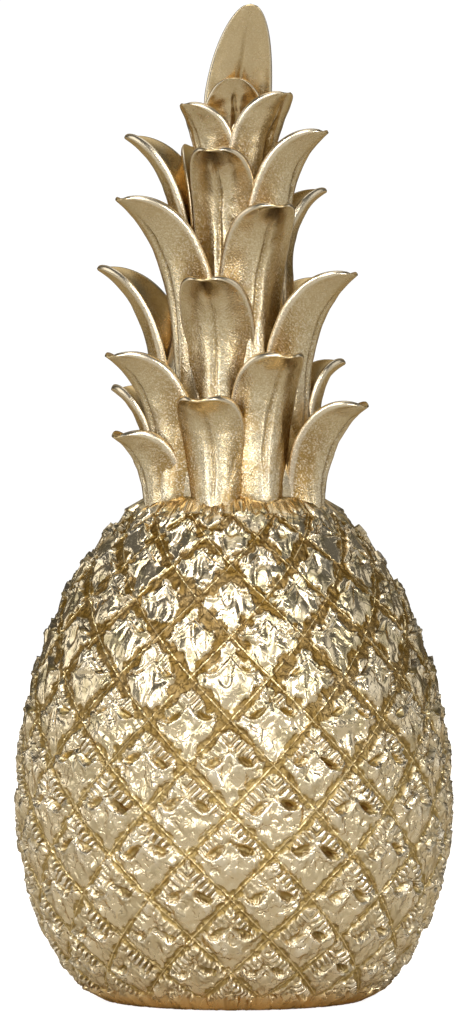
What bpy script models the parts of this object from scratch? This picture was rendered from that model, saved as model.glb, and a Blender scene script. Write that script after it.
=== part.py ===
"""A moulded pineapple ornament that stands on its flat underside.

The fruit is a turned body whose skin is a lattice of diamond eyes. The crown is a tapered stem
with rings of channelled leaves that curl outwards. The real thing is one casting, so the fruit,
the stem and the leaves are joined into one solid.

Azimuths are in degrees from the front, which faces -Y, and grow towards the right, +X.
"""

import math

import bmesh
import bpy
from mathutils import Vector

MM = 0.001

# The fruit's outline, as the radius that the tips of its eyes reach
BELLY_RADIUS = 67.2 * MM
BELLY_HEIGHT = 60.0 * MM
FOOT_RADIUS = 41.5 * MM
FOOT_FULLNESS = 0.68
SHOULDER_HEIGHT = 102.0 * MM
FRUIT_TOP = 151.5 * MM
FRUIT_TOP_RADIUS = 27.0 * MM

# The lattice of eyes
EYES_AROUND = 16
CROSSING_ROWS = 14
FIRST_CROSSING = 2.4 * MM
LAST_CROSSING = 148.4 * MM
ROW_STEP_POWER = 0.5
HALF_EYES = 2 * EYES_AROUND
LATTICE_TURN = -1.0
EYE_RELIEF = 3.6 * MM
PROFILE_STEPS = 600

# One eye: share of its size that each ring point lies at, and how high it stands
RING_SHARE = 0.80
RING_TOP = 0.74
RING_SIDE = 0.66
RING_BOTTOM = 0.84
LIP_HEIGHT = 1.0
LIP_DROP = 0.10

# Half an eye: how far its middle lies from the row of crossings that cuts it, in rows
HALF_EYE_MIDDLE = 0.3

# The stem in the middle of the crown, as height and radius
STEM_PROFILE = (
    (276.0 * MM, 0.0),
    (274.0 * MM, 3.0 * MM),
    (262.0 * MM, 7.0 * MM),
    (246.0 * MM, 10.0 * MM),
    (228.0 * MM, 13.8 * MM),
    (203.0 * MM, 18.8 * MM),
    (180.0 * MM, 22.6 * MM),
    (158.0 * MM, 26.0 * MM),
    (140.0 * MM, 27.0 * MM),
    (140.0 * MM, 0.0),
)
STEM_SIDES = 16

# A leaf's blade
LEAF_STATIONS = (0.0, 0.35, 0.60, 0.78, 0.90, 0.97)
LEAF_ACROSS = (-1.0, -0.45, 0.45, 1.0)
LEAF_BACK = (0.84, 0.0, -0.84)
NARROW_ROOT = 0.78
FLARE_END = 0.5
TAPER_START = 0.60
TOP_TAPER_START = 0.22
TAPER_POWER = 2.6
TAPER_FULLNESS = 0.5
CHANNEL_DEPTH = 0.72
TOP_CHANNEL_DEPTH = 0.25
FLATTEN_START = 0.30
FLATTEN_POWER = 1.7
FLATTEN_FULLNESS = 0.62
EDGE_THICKNESS = 1.8 * MM
RIB_THICKNESS = 2.4 * MM
TIP_TAPER = 0.5
SOLID_SHARE = 0.6
STRAIGHT_SHARE = 0.46
CURL_SHARE = 0.35

# Rings from the shoulder up. Each gives its leaves' root radius and height, their width, the
# angle above level at which their tips point, the leaves that face the front as (azimuth, tip
# height, reach, sway), and the ones behind as azimuths that share one tip height and reach. Sway
# is how far a tip leans sideways. Lengths are in millimetres.
CROWN = (
    dict(
        root=(30.5, 144.0),
        width=19.5,
        curl=24.0,
        front=((-58, 169.0, 40.5, -2.5), (-12, 179.5, 38.5, -3), (59, 178.0, 45.5, 1)),
        behind=(131, -157),
        behind_tip=(177.0, 42.0),
    ),
    dict(
        root=(29.5, 149.0),
        width=19.5,
        curl=24.0,
        front=((-49, 193.0, 44.0, -6.5), (19, 192.5, 40.0, 3.5), (112, 192.0, 36.5, 0)),
        behind=(167, -121),
        behind_tip=(184.0, 43.0),
    ),
    dict(
        root=(25.0, 158.0),
        width=22.0,
        curl=28.0,
        front=((-112, 221.0, 45.0, 0), (-13, 215.5, 36.0, -1.5), (59, 217.5, 42.5, 0)),
        behind=(131, -157),
        behind_tip=(218.0, 40.0),
    ),
    dict(
        root=(22.0, 180.0),
        width=20.0,
        curl=28.0,
        front=((-49, 240.0, 41.0, -5.5), (17, 237.5, 34.0, 4), (112, 244.5, 30.5, 0)),
        behind=(167, -121),
        behind_tip=(240.0, 35.0),
    ),
    dict(
        root=(18.0, 203.0),
        width=19.5,
        curl=30.0,
        front=((-112, 261.0, 36.0, 0), (-12, 254.5, 27.0, -1.5), (59, 260.5, 32.5, 0)),
        behind=(131, -157),
        behind_tip=(259.0, 31.0),
    ),
    dict(
        root=(12.5, 228.0),
        width=18.5,
        curl=48.0,
        front=((-55, 269.5, 19.0, 0), (45, 272.5, 22.0, 1)),
        behind=(152, -141),
        behind_tip=(271.0, 21.0),
    ),
)

# The two upright leaves at the very top: azimuth, root, width, tip height, reach, sway, curl angle
TOP_LEAVES = (
    (0, (7.0, 246.0), 20.0, 277.5, 11.0, 0, 60.0),
    (0, (-1.0, 240.0), 20.5, 300.0, 9.0, 5, 75.0),
)

GOLD = (0.66, 0.50, 0.27, 1.0)
GOLD_ROUGHNESS = 0.34
GOLD_METALLIC = 0.9


def clear_scene():
    """Empty the scene of the objects it starts with."""
    for thing in list(bpy.data.objects):
        bpy.data.objects.remove(thing, do_unlink=True)


def new_collection(name, parent):
    """Make a collection inside another."""
    collection = bpy.data.collections.new(name)
    parent.children.link(collection)
    return collection


def gold_paint():
    """Pale gold paint, as on the whole casting."""
    material = bpy.data.materials.new("gold_paint")
    material.use_nodes = True
    shader = material.node_tree.nodes["Principled BSDF"]
    shader.inputs["Base Color"].default_value = GOLD
    shader.inputs["Roughness"].default_value = GOLD_ROUGHNESS
    shader.inputs["Metallic"].default_value = GOLD_METALLIC
    return material


def new_object(name, mesh, collection):
    """Put a mesh in the scene as an object of this name."""
    made = bpy.data.objects.new(name, mesh)
    collection.objects.link(made)
    return made


def around(radius, azimuth, height):
    """The point at a radius and azimuth from the axis, at a height."""
    turn = math.radians(azimuth)
    return Vector((radius * math.sin(turn), -radius * math.cos(turn), height))


def fruit_radius(height):
    """How far the tips of the eyes reach at a height."""
    if height < BELLY_HEIGHT:
        drop = 1.0 - height / BELLY_HEIGHT
        return FOOT_RADIUS + (BELLY_RADIUS - FOOT_RADIUS) * (1.0 - drop**2) ** FOOT_FULLNESS
    rise = (height - BELLY_HEIGHT) / SHOULDER_HEIGHT
    return BELLY_RADIUS * math.sqrt(1.0 - rise**2)


def row_heights():
    """Heights of the rows where grooves cross, as a step that grows with the root of the radius."""
    heights = [FRUIT_TOP * step / PROFILE_STEPS for step in range(PROFILE_STEPS + 1)]
    travelled = [0.0]
    for low, high in zip(heights, heights[1:]):
        ends = fruit_radius(low), fruit_radius(high)
        along = math.hypot(high - low, ends[1] - ends[0])
        travelled.append(travelled[-1] + along / (sum(ends) / 2) ** ROW_STEP_POWER)

    def reading(wanted, inputs, outputs):
        place = next(i for i in range(1, len(inputs)) if inputs[i] >= wanted)
        share = (wanted - inputs[place - 1]) / (inputs[place] - inputs[place - 1])
        return outputs[place - 1] + share * (outputs[place] - outputs[place - 1])

    first = reading(FIRST_CROSSING, heights, travelled)
    last = reading(LAST_CROSSING, heights, travelled)
    steps = CROSSING_ROWS - 1
    return [
        reading(first + (last - first) * row / steps, travelled, heights)
        for row in range(CROSSING_ROWS)
    ]


class Lattice:
    """The fruit's skin in lattice units: half eyes around and crossing rows up."""

    def __init__(self):
        self.heights = row_heights()

    def height(self, row):
        """The height of a row, which may lie between two rows of crossings."""
        low = min(max(math.floor(row), 0), CROSSING_ROWS - 2)
        share = row - low
        return self.heights[low] + share * (self.heights[low + 1] - self.heights[low])

    def point(self, column, row, relief):
        """The point this share of the relief above the grooves, square to the fruit's outline."""
        height = self.height(row)
        step = BELLY_HEIGHT / PROFILE_STEPS
        slope = (fruit_radius(height + step) - fruit_radius(height - step)) / (2 * step)
        tilt = math.hypot(1.0, slope)
        inset = (relief - 1.0) * EYE_RELIEF
        radius = fruit_radius(height) + inset / tilt
        azimuth = column * 360.0 / HALF_EYES + LATTICE_TURN
        return around(radius, azimuth, height - inset * slope / tilt)


# An eye's eight points, counter-clockwise seen from outside, as shares of half its size. The
# first five go round its upper half.
EYE_OUTLINE = ((1, 0), (0.5, 0.5), (0, 1), (-0.5, 0.5), (-1, 0), (-0.5, -0.5), (0, -1), (0.5, -0.5))
HALF_OUTLINE = EYE_OUTLINE[:5]


def ring_relief(across, up):
    """How high a point of an eye's inner ring stands."""
    side = abs(across)
    end = RING_TOP if up > 0 else RING_BOTTOM
    return side * RING_SIDE + (1.0 - side) * end


def add_eye(mesh, lattice, column, row, corner_at, outline):
    """One eye: its outline in the grooves, a ring inside it, and a lip in the middle."""
    outer = [corner_at(column + across, row + up) for across, up in outline]
    inner = []
    for across, up in outline:
        relief = ring_relief(across, up)
        place = (column + across * RING_SHARE, row + up * RING_SHARE)
        inner.append(mesh.verts.new(lattice.point(*place, relief)))
    lip = mesh.verts.new(lattice.point(column, row - LIP_DROP, LIP_HEIGHT))
    count = len(outline)
    for this in range(count):
        following = (this + 1) % count
        mesh.faces.new((outer[this], outer[following], inner[following], inner[this]))
        mesh.faces.new((inner[this], inner[following], lip))


def make_fruit(collection):
    """The body of the fruit, closed by a flat foot below and a level top under the crown."""
    lattice = Lattice()
    mesh = bmesh.new()
    grooves = {}

    def corner_at(column, row):
        key = (round(2 * column) % (2 * HALF_EYES), round(2 * row))
        if key not in grooves:
            grooves[key] = mesh.verts.new(lattice.point(key[0] / 2, key[1] / 2, 0.0))
        return grooves[key]

    top_row = CROSSING_ROWS - 1
    for row in range(1, top_row):
        for eye in range(EYES_AROUND):
            add_eye(mesh, lattice, 2 * eye + row % 2, row, corner_at, EYE_OUTLINE)

    def level_ring(radius, height):
        places = [column * 360.0 / HALF_EYES + LATTICE_TURN for column in range(HALF_EYES)]
        return [mesh.verts.new(around(radius, azimuth, height)) for azimuth in places]

    foot = level_ring(FOOT_RADIUS - EYE_RELIEF / 2, 0.0)
    top = level_ring(FRUIT_TOP_RADIUS, FRUIT_TOP)
    for eye in range(EYES_AROUND):
        # Half an eye is left over between each two crossings, below the first row and above the last
        for row, ring, up in ((0, foot, 1), (top_row, top, -1)):
            column = 2 * eye + row % 2
            right = ring[(column + 1) % HALF_EYES]
            left = ring[(column - 1) % HALF_EYES]
            rim = [corner_at(column + across, row + rise * up) for across, rise in HALF_OUTLINE]
            middle = mesh.verts.new(lattice.point(column, row + HALF_EYE_MIDDLE * up, RING_TOP))
            base = mesh.verts.new(lattice.point(column, row, RING_SIDE))
            loops = [(this, following, middle) for this, following in zip(rim, rim[1:])]
            loops.append((rim[-1], base, middle))
            loops.append((base, rim[0], middle))
            loops.append((rim[-1], left, ring[column], base))
            loops.append((base, ring[column], right, rim[0]))
            for loop in loops:
                mesh.faces.new(loop if up > 0 else tuple(reversed(loop)))
    mesh.faces.new(list(reversed(foot)))
    mesh.faces.new(top)
    bmesh.ops.recalc_face_normals(mesh, faces=mesh.faces)
    bmesh.ops.triangulate(mesh, faces=[f for f in mesh.faces if len(f.verts) == 4])
    data = bpy.data.meshes.new("fruit")
    mesh.to_mesh(data)
    mesh.free()
    return new_object("pineapple", data, collection)


def make_stem(collection):
    """The tapered stem, turned from its profile."""
    data = bpy.data.meshes.new("stem")
    points = [(radius, 0.0, height) for height, radius in STEM_PROFILE]
    data.from_pydata(points, [(i, i + 1) for i in range(len(points) - 1)], [])
    stem = new_object("stem", data, collection)
    screw = stem.modifiers.new("turn", "SCREW")
    screw.axis = "Z"
    screw.steps = STEM_SIDES
    screw.render_steps = STEM_SIDES
    screw.use_merge_vertices = True
    screw.merge_threshold = 0.00001
    screw.use_smooth_shade = False
    return stem


def curve_at(ends, share):
    """Point and direction on a cubic curve through four control points (radius, height)."""
    rest = 1.0 - share
    weights = (rest**3, 3 * rest**2 * share, 3 * rest * share**2, share**3)
    point = sum((end * weight for end, weight in zip(ends, weights)), Vector((0.0, 0.0)))
    legs = [ends[i + 1] - ends[i] for i in range(3)]
    slopes = (rest**2, 2 * rest * share, share**2)
    along = sum((leg * slope for leg, slope in zip(legs, slopes)), Vector((0.0, 0.0)))
    return point, along.normalized()


def taper(share, start, power, fullness):
    """Full up to a start, and from there a rounded fall to nothing at the tip."""
    past = max(0.0, (share - start) / (1.0 - start))
    return (1.0 - past**power) ** fullness


def make_leaf(name, azimuth, root, tip, width, sway, curl_angle, taper_start, depth_share, collection):
    """A channelled blade that rises along the stem and curls outwards to a blunt tip."""
    root = Vector(root)
    tip = Vector(tip)
    rise = tip.y - root.y
    curl = math.radians(curl_angle)
    ends = (
        root,
        root + Vector((0.0, STRAIGHT_SHARE * rise)),
        tip - CURL_SHARE * rise * Vector((math.cos(curl), math.sin(curl))),
        tip,
    )
    turn = math.radians(azimuth)
    side = Vector((math.cos(turn), math.sin(turn), 0.0))
    mesh = bmesh.new()

    def blade_point(share, across, inside):
        """A point of the blade: across it from -1 to 1, on its outer or its inner face."""
        centre, along = curve_at(ends, share)
        outwards = Vector((along.y, -along.x))
        flare = NARROW_ROOT + (1.0 - NARROW_ROOT) * min(1.0, share / FLARE_END)
        blade = taper(share, taper_start, TAPER_POWER, TAPER_FULLNESS)
        half = 0.5 * width * flare * blade
        hollow = taper(share, FLATTEN_START, FLATTEN_POWER, FLATTEN_FULLNESS)
        channel = 0.5 * depth_share * width * flare * hollow
        depth = channel * across * across
        if inside:
            # Near its root the blade is solid, and further up its channel is open
            rib = RIB_THICKNESS + channel * max(0.0, 1.0 - share / SOLID_SHARE)
            thickness = EDGE_THICKNESS + (rib - EDGE_THICKNESS) * (1.0 - abs(across))
            depth += thickness * blade**TIP_TAPER
        place = centre - outwards * depth
        return around(place.x, azimuth, place.y) + side * (half * across + sway * share * share)

    loops = []
    for share in LEAF_STATIONS:
        loop = [mesh.verts.new(blade_point(share, across, False)) for across in LEAF_ACROSS]
        loop += [mesh.verts.new(blade_point(share, across, True)) for across in LEAF_BACK]
        loops.append(loop)
    for low, high in zip(loops, loops[1:]):
        for this in range(len(low)):
            following = (this + 1) % len(low)
            mesh.faces.new((low[this], low[following], high[following], high[this]))
    mesh.faces.new(list(reversed(loops[0])))
    end = mesh.verts.new(around(tip.x, azimuth, tip.y) + side * sway)
    last = loops[-1]
    for this in range(len(last)):
        mesh.faces.new((last[this], last[(this + 1) % len(last)], end))
    bmesh.ops.recalc_face_normals(mesh, faces=mesh.faces)
    bmesh.ops.triangulate(mesh, faces=mesh.faces)
    data = bpy.data.meshes.new(name)
    mesh.to_mesh(data)
    mesh.free()
    return new_object(name, data, collection)


def make_crown(collection):
    """Every leaf of the crown, ring by ring."""

    def grow(azimuth, root, width, tip_height, reach, sway, curl_angle, taper_start, depth_share):
        name = "leaf_%02d" % (len(collection.objects))
        root = [MM * size for size in root]
        tip = (MM * reach, MM * tip_height)
        sizes = (MM * width, MM * sway, curl_angle, taper_start, depth_share)
        make_leaf(name, azimuth, root, tip, *sizes, collection)

    for ring in CROWN:
        root, width = ring["root"], ring["width"]
        tips = list(ring["front"]) + [(azimuth, *ring["behind_tip"], 0) for azimuth in ring["behind"]]
        for azimuth, tip_height, reach, sway in tips:
            shape = (tip_height, reach, sway, ring["curl"])
            grow(azimuth, root, width, *shape, TAPER_START, CHANNEL_DEPTH)
    for leaf in TOP_LEAVES:
        grow(*leaf, TOP_TAPER_START, TOP_CHANNEL_DEPTH)


def join_into(body, collection):
    """Join everything in a collection to the body, which then is one closed solid."""
    union = body.modifiers.new("one_casting", "BOOLEAN")
    union.operation = "UNION"
    union.operand_type = "COLLECTION"
    union.collection = collection
    union.solver = "EXACT"


def main():
    clear_scene()
    scene = bpy.context.scene.collection
    kept = new_collection("pineapple_ornament", scene)
    joined = new_collection("joined_shapes", scene)
    joined.hide_render = True
    pineapple = make_fruit(kept)
    make_stem(joined)
    make_crown(joined)
    for helper in joined.objects:
        helper.hide_render = True
        helper.display_type = "WIRE"
    join_into(pineapple, joined)
    pineapple.data.materials.append(gold_paint())


main()
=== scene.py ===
# %% [markdown]
# The object is a moulded pineapple ornament in pale gold paint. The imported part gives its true
# size and outline. This lesson gives it the skin that the casting really has: diamond eyes with
# ribs, pockets and lips, and channelled leaves with rims and veins. The part itself is loaded
# first and never moved, so every new piece has a fixed frame to fit.

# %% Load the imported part
import math

import bmesh
import bpy
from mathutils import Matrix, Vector


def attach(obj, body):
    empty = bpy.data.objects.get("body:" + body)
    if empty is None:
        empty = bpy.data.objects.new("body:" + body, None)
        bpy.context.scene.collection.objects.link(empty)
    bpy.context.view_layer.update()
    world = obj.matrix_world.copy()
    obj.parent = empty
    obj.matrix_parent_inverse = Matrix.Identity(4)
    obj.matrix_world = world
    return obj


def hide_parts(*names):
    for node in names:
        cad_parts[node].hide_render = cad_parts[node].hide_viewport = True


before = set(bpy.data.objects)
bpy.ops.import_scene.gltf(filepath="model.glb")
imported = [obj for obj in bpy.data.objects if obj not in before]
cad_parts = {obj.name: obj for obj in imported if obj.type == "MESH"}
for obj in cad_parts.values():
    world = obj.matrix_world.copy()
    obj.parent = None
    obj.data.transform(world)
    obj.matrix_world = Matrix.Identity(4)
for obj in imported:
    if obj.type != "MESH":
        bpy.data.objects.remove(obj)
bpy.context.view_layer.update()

MM = 0.001

# %% [markdown]
# Every relief and every finish below is a rule, and a rule is easiest to read as a sum. A node
# tree could be wired by hand in the editor, or node by node in Python. Here one small class wraps
# a socket, so that `1 - mask` or `height * 2` adds the Math node that works it out. Any other
# node comes from one method.

# %% A socket that does sums
class Value:
    """A socket of a node tree, on which Python's own sums add the nodes that work them out."""

    def __init__(self, tree, socket=None):
        self.tree = tree
        self.socket = socket

    def node(self, kind, settings=None, inputs=None, output=0):
        """A new node: its settings are set first, then its sockets are set or linked."""
        made = self.tree.nodes.new(kind)
        for name, setting in (settings or {}).items():
            if name == "stops":
                ramp = made.color_ramp.elements
                while len(ramp) < len(setting):
                    ramp.new(1.0)
                for stop, (place, colour) in zip(ramp, setting):
                    stop.position = place
                    stop.color = colour
            else:
                setattr(made, name, setting)
        for key, given in (inputs or {}).items():
            if isinstance(given, Value):
                self.tree.links.new(given.socket, made.inputs[key])
            else:
                made.inputs[key].default_value = given
        return Value(self.tree, made.outputs[output])

    def also(self, output):
        """Another output of the node that this value comes from."""
        return Value(self.tree, self.socket.node.outputs[output])

    def math(self, operation, *others):
        """A Math node with this value first."""
        return self.node("ShaderNodeMath", {"operation": operation}, dict(enumerate((self, *others))))

    def math_after(self, operation, first):
        """A Math node with this value second."""
        return self.node("ShaderNodeMath", {"operation": operation}, {0: first, 1: self})

    def __add__(self, other):
        return self.math("ADD", other)

    def __radd__(self, other):
        return self.math("ADD", other)

    def __sub__(self, other):
        return self.math("SUBTRACT", other)

    def __rsub__(self, other):
        return self.math_after("SUBTRACT", other)

    def __mul__(self, other):
        return self.math("MULTIPLY", other)

    def __rmul__(self, other):
        return self.math("MULTIPLY", other)

    def __truediv__(self, other):
        return self.math("DIVIDE", other)

    def __rtruediv__(self, other):
        return self.math_after("DIVIDE", other)

    def __pow__(self, other):
        return self.math("POWER", other)

    def __abs__(self):
        return self.math("ABSOLUTE")

    def least(self, other):
        return self.math("MINIMUM", other)

    def most(self, other):
        return self.math("MAXIMUM", other)

    def soft_least(self, other, blend):
        """The smaller of two values, with the corner between them rounded off."""
        return self.math("SMOOTH_MIN", other, blend)

    def held(self):
        """The value kept between 0 and 1."""
        return self.least(1.0).most(0.0)

    def ramp(self, start, end):
        """A smooth rise from 0 where the value is start to 1 where it is end."""
        limits = {"Value": self, "From Min": start, "From Max": end}
        return self.node("ShaderNodeMapRange", {"interpolation_type": "SMOOTHSTEP"}, limits)

    def between(self, low, high):
        """Low where the value is 0 and high where it is 1."""
        return low + self * (high - low)

    def peak(self, middle, reach):
        """1 where the value is at the middle, and 0 where it is further off than the reach."""
        return (1.0 - abs(self - middle) / reach).most(0.0)

    def present(self):
        """1 where there is any of the value, and 0 where there is none."""
        return (self * 1000.0).held()

    def noise(self, scale, detail=2.0, roughness=0.5, distortion=0.0):
        """Soft noise around 0.5 at this place, scale being waves in a metre."""
        sizes = {"Vector": self, "Scale": scale, "Detail": detail}
        sizes.update({"Roughness": roughness, "Distortion": distortion})
        return self.node("ShaderNodeTexNoise", None, sizes)

    def crumple(self, scale, bend):
        """Foil crumpled into small cells with sharp folds between them, which soft noise bends."""
        slower = 0.6 * scale
        drift = self.noise(slower, 1.0).also(1)
        moved = self.node("ShaderNodeVectorMath", {"operation": "SCALE"}, {0: drift, 3: bend})
        place = self.node("ShaderNodeVectorMath", {"operation": "ADD"}, {0: self, 1: moved})
        return self.node("ShaderNodeTexVoronoi", {"feature": "F1"}, {"Vector": place, "Scale": scale})


# %% [markdown]
# A Geometry Nodes tree is used like a mould: it is built once, with named inputs for its sizes,
# and poured for each piece. The result is kept as a plain mesh, so nothing live is left on it.
# Both moulds here start from flat grids and move their points, so the first and the last nodes of
# a tree are shared helpers.

# %% Build a tree, and pour a piece from it
MERGE_DISTANCE = 0.004 * MM


def new_tree(name, sizes):
    """An empty tree with one named input for each size. Returns it and its inputs."""
    tree = bpy.data.node_groups.new(name, "GeometryNodeTree")
    face = tree.interface
    face.new_socket("Geometry", in_out="OUTPUT", socket_type="NodeSocketGeometry")
    face.new_socket("Geometry", in_out="INPUT", socket_type="NodeSocketGeometry")
    for label, kind in sizes.items():
        face.new_socket(label, in_out="INPUT", socket_type="NodeSocket" + kind)
    given = tree.nodes.new("NodeGroupInput")
    return tree, {socket.name: Value(tree, socket) for socket in given.outputs if socket.name}


def lay_grids(points, cells_across, cells_along):
    """A flat square grid for each point, and the two places on a grid, each from 0 to 1."""
    sides = {"Size X": 1.0, "Size Y": 1.0}
    sides.update({"Vertices X": cells_across + 1.0, "Vertices Y": cells_along + 1.0})
    grid = points.node("GeometryNodeMeshGrid", None, sides)
    laid = points.node("GeometryNodeInstanceOnPoints", None, {"Points": points, "Instance": grid})
    grids = points.node("GeometryNodeRealizeInstances", None, {"Geometry": laid})
    flat = points.node("ShaderNodeSeparateXYZ", None, {0: points.node("GeometryNodeInputPosition")})
    return grids, flat + 0.5, flat.also(1) + 0.5


def end_tree(tree, geometry, place, material):
    """Close a tree: each point moves to its place, doubles merge, and the skin gets its paint."""
    moved = geometry.node("GeometryNodeSetPosition", None, {"Geometry": geometry, "Position": place})
    sockets = {"Geometry": moved, "Distance": MERGE_DISTANCE}
    merged = geometry.node("GeometryNodeMergeByDistance", None, sockets)
    solid = geometry.node("GeometryNodeRealizeInstances", None, {"Geometry": merged})
    smooth = geometry.node("GeometryNodeSetShadeSmooth", None, {"Geometry": solid})
    painted = geometry.node("GeometryNodeSetMaterial", None, {"Geometry": smooth, "Material": material})
    result = tree.nodes.new("NodeGroupOutput")
    tree.links.new(painted.socket, result.inputs["Geometry"])


def pour(name, source, tree, sizes):
    """Run a tree on a source mesh, and keep the result as an object with a plain mesh."""
    host = bpy.data.objects.new(name + "_source", source)
    bpy.context.scene.collection.objects.link(host)
    modifier = host.modifiers.new("mould", "NODES")
    modifier.node_group = tree
    for socket in tree.interface.items_tree:
        if socket.in_out == "INPUT" and socket.name in sizes:
            modifier[socket.identifier] = sizes[socket.name]
    graph = bpy.context.evaluated_depsgraph_get()
    mesh = bpy.data.meshes.new_from_object(host.evaluated_get(graph), depsgraph=graph)
    bpy.data.objects.remove(host)
    piece = bpy.data.objects.new(name, mesh)
    bpy.context.scene.collection.objects.link(piece)
    return piece


def named(start, name, kind="FLOAT"):
    """A stored attribute as a value."""
    return start.node("GeometryNodeInputNamedAttribute", {"data_type": kind}, {"Name": name})


def stored(geometry, name, value):
    """The geometry with a value stored on its points."""
    sockets = {"Geometry": geometry, "Name": name, "Value": value}
    return geometry.node("GeometryNodeStoreNamedAttribute", {"data_type": "FLOAT"}, sockets)


# %% [markdown]
# The fruit is a turned body, widest a little below its middle. Its outline is two arcs that meet
# at the belly, and the eyes stay just inside it. A spline could be drawn over a picture, but two
# short sums are easier to change. The sizes are those of the solid, so the skin lies on it.

# %% The fruit's outline
BELLY_RADIUS = 67.2 * MM
BELLY_HEIGHT = 60.0 * MM
FOOT_RADIUS = 41.5 * MM
FOOT_FULLNESS = 0.68
SHOULDER_HEIGHT = 102.0 * MM
FRUIT_TOP = 151.5 * MM
FRUIT_TOP_RADIUS = 27.0 * MM


def fruit_radius(height):
    """The outline's radius at a height."""
    if height < BELLY_HEIGHT:
        drop = 1.0 - height / BELLY_HEIGHT
        return FOOT_RADIUS + (BELLY_RADIUS - FOOT_RADIUS) * (1.0 - drop**2) ** FOOT_FULLNESS
    rise = (height - BELLY_HEIGHT) / SHOULDER_HEIGHT
    return BELLY_RADIUS * math.sqrt(1.0 - rise**2)


print("outline at the belly is", round(2 * fruit_radius(BELLY_HEIGHT) / MM, 1), "mm across")

# %% [markdown]
# The eyes lie on a lattice: sixteen of them around, in rows that get closer where the fruit gets
# narrow. A row's height comes from adding up short steps of the outline, each divided by the root
# of its radius. The outline is kept as a string of points, some for each row, on which the
# eyes are laid afterwards.

# %% The lattice, as a string of points from the foot to the shoulder
EYES_AROUND = 16
CROSSING_ROWS = 14
FIRST_CROSSING = 2.4 * MM
LAST_CROSSING = 148.4 * MM
ROW_STEP_POWER = 0.5
PROFILE_STEPS = 3000
STEPS_IN_A_ROW = 24


def row_outline():
    """Points (radius, 0, height) and outward directions, STEPS_IN_A_ROW for each row."""
    heights = [FRUIT_TOP * step / PROFILE_STEPS for step in range(PROFILE_STEPS + 1)]
    radii = [fruit_radius(height) for height in heights]
    travelled = [0.0]
    for i in range(PROFILE_STEPS):
        along = math.hypot(heights[i + 1] - heights[i], radii[i + 1] - radii[i])
        travelled.append(travelled[-1] + along / ((radii[i] + radii[i + 1]) / 2) ** ROW_STEP_POWER)
    last_row = CROSSING_ROWS - 1
    ends = (FIRST_CROSSING, LAST_CROSSING)
    first, last = (travelled[round(height / FRUIT_TOP * PROFILE_STEPS)] for height in ends)
    points, directions = [], []
    place = 0
    for step in range(last_row * STEPS_IN_A_ROW + 1):
        wanted = first + (last - first) * step / (last_row * STEPS_IN_A_ROW)
        while place < PROFILE_STEPS - 1 and travelled[place + 1] < wanted:
            place += 1
        share = (wanted - travelled[place]) / (travelled[place + 1] - travelled[place])
        height = heights[place] + share * (heights[place + 1] - heights[place])
        slope = (fruit_radius(height + MM) - fruit_radius(height - MM)) / (2 * MM)
        points.append((fruit_radius(height), 0.0, height))
        directions.append(Vector((1.0, 0.0, -slope)).normalized())
    return points, directions


def outline_mesh():
    """The string of points as a mesh that carries its outward directions."""
    points, directions = row_outline()
    mesh = bpy.data.meshes.new("fruit_outline")
    mesh.from_pydata(points, [], [])
    outwards = mesh.attributes.new("outwards", "FLOAT_VECTOR", "POINT")
    for item, direction in zip(outwards.data, directions):
        item.vector = direction
    return mesh


fruit_outline = outline_mesh()
row_points = list(fruit_outline.vertices)[::STEPS_IN_A_ROW]
print("rows at mm:", [round(point.co.z / MM) for point in row_points])

# %% [markdown]
# Each eye of a real pineapple is a bract: a pointed flap that covers the lower half, whose upper
# edge is a bowed lip. Above the lip are two almond pockets, and a comb of short ribs stands along
# each upper edge. A thin broken cord runs along the grooves between the eyes. Higher up, where
# more light falls, the eyes are plainer, with torn edges and skin like crumpled foil. An eye could
# be modelled once and copied, but all of them sit differently on the round body, and no two are
# alike. So one flat grid is laid out for each eye, and every point of it is lifted by a rule that
# works in the eye's own places: across from -1 to 1, and up from -1 to 1. Seven numbers drawn for
# each eye make it differ from the others. A size that changes up the fruit is written as a pair:
# first in the low rows, then in the high ones. A size without mm is a share of the eye.

# %% What differs from eye to eye
EYE_RELIEF = 3.6 * MM
CHANGING_ROWS = (4.5, 9.0)
DRAWS = 7


def eye_draws(number):
    """Numbers between -1 and 1 that are drawn for each eye."""
    drawn = []
    for seed in range(DRAWS):
        sockets = {2: -1.0, 3: 1.0, 7: number, 8: seed}
        drawn.append(number.node("FunctionNodeRandomValue", {"data_type": "FLOAT"}, sockets, 1))
    return drawn


print("an eye has up to", round(EYE_RELIEF / MM, 1), "mm of relief and", DRAWS, "numbers of its own")

# %% [markdown]
# The raised plate of an eye ends a little inside its diamond. Its upper edges stand back further
# than the lower ones, as if the flaps of the eyes above lay over them. Noise lets the edges wander,
# since straight ones would look machined. Right at the diamond's edge nothing depends on the eye
# itself, so neighbours meet there without a crack.

# %% The plate of an eye
CORNER_BLEND = 0.06
MARGIN_BLEND = 0.05
TOP_MARGIN = (0.048, 0.125)
LOW_MARGIN = (0.022, 0.050)
MARGIN_SPREAD = (0.018, 0.045)
EDGE_WANDER = (0.24, 0.60)
EDGE_RAGGEDNESS = 0.14
PLATE_STEP = 0.05
SEAM_STEP = 0.03


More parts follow.
